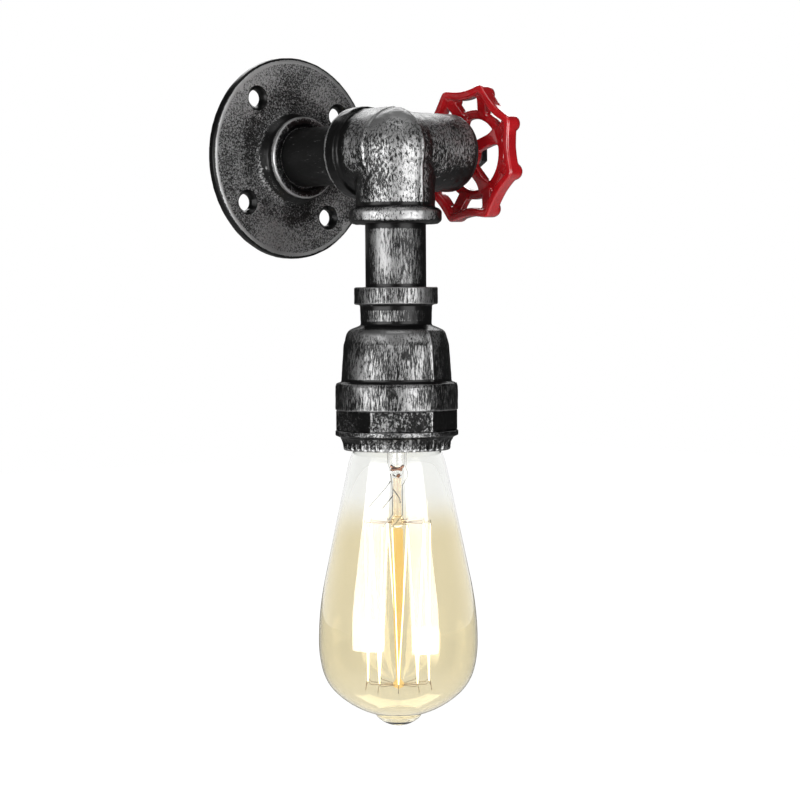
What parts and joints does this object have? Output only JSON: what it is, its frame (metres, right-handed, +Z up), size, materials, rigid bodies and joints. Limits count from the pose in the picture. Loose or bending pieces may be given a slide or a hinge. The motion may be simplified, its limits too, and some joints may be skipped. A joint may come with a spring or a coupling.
{
  "type": "pipe wall light",
  "caption": "Industrial wall light made of pipe fittings: round wall flange, corner fitting with a red handwheel, bell socket and a hanging pear-shaped filament bulb.",
  "frame": {"origin": "centre of the flange's back face, on the wall", "axes": "+Y into the wall along the flange axis, +Z up, the bulb hangs towards -Z in front of the wall on the -Y side, +X towards the handwheel"},
  "size_m": [0.0888, 0.1003, 0.2731],
  "materials": {
    "rubbed_iron": "black casting rubbed with silver",
    "rubbed_pipe": "black pipe brushed with silver",
    "black_pipe": "black pipe",
    "black_hexagon": "satin black",
    "port_steel": "satin black",
    "red_enamel": "gloss red",
    "zinc_steel": "zinc plated",
    "white_ceramic": "unglazed",
    "holder_brass": "plain",
    "black_rubber": "matt",
    "brown_insulation": "live lead",
    "blue_insulation": "neutral lead",
    "green_yellow_insulation": "earth lead",
    "cap_brass": "bulb cap",
    "black_glass": "cap insulator",
    "tinted_glass": "clear above, amber below",
    "clear_glass": "clear",
    "support_wire": "thin wire",
    "glowing_filament": "glowing"
  },
  "bodies": {
    "fixture": {"wall_flange": "rubbed_iron", "wall_nipple": "black_pipe", "wire_bush": "black_rubber", "corner_elbow": "rubbed_iron", "port_plug": "port_steel", "drop_nipple": "rubbed_pipe", "bell_reducer": "rubbed_iron", "hex_bushing": "black_hexagon", "lamp_ring": "rubbed_iron", "lampholder_body": "white_ceramic", "screw_shell": "holder_brass", "neutral_terminal": "holder_brass", "live_terminal": "holder_brass", "contact_rivet": "holder_brass", "centre_contact": "holder_brass", "terminal_screws": "zinc_steel", "earth_screw": "zinc_steel", "earth_lug": "holder_brass", "live_lead": "brown_insulation", "neutral_lead": "blue_insulation", "earth_lead": "green_yellow_insulation"},
    "wheel": {"handwheel": "red_enamel", "valve_stem": "zinc_steel", "wheel_washer": "zinc_steel", "wheel_nut": "zinc_steel"},
    "bulb_travel": {"bulb_contact_button": "cap_brass"},
    "bulb": {"bulb_cap": "cap_brass", "bulb_cap_insulator": "black_glass", "bulb_glass": "tinted_glass", "bulb_stem": "clear_glass", "bulb_rod": "clear_glass", "upper_supports": "support_wire", "lower_supports": "support_wire", "filament": "glowing_filament", "lead_in_wires": "support_wire"}
  },
  "joints": [
    {"name": "wheel_turn", "type": "hinge", "parent": "fixture", "child": "wheel", "pos_m": [0.0422, -0.06834, 0], "axis": [1, 0, 0], "continuous": true},
    {"name": "bulb_slide", "type": "slide", "parent": "fixture", "child": "bulb_travel", "axis": [0, 0, -1], "range_m": [0, 0.0218]},
    {"name": "bulb_turn", "type": "hinge", "parent": "bulb_travel", "child": "bulb", "pos_m": [0, -0.06834, -0.1], "axis": [0, 0, -1], "range_deg": [0, 2160]}
  ],
  "couplings": [
    {"joint": "bulb_slide", "follows": "bulb_turn", "m_per_rad": 0.00057614}
  ]
}
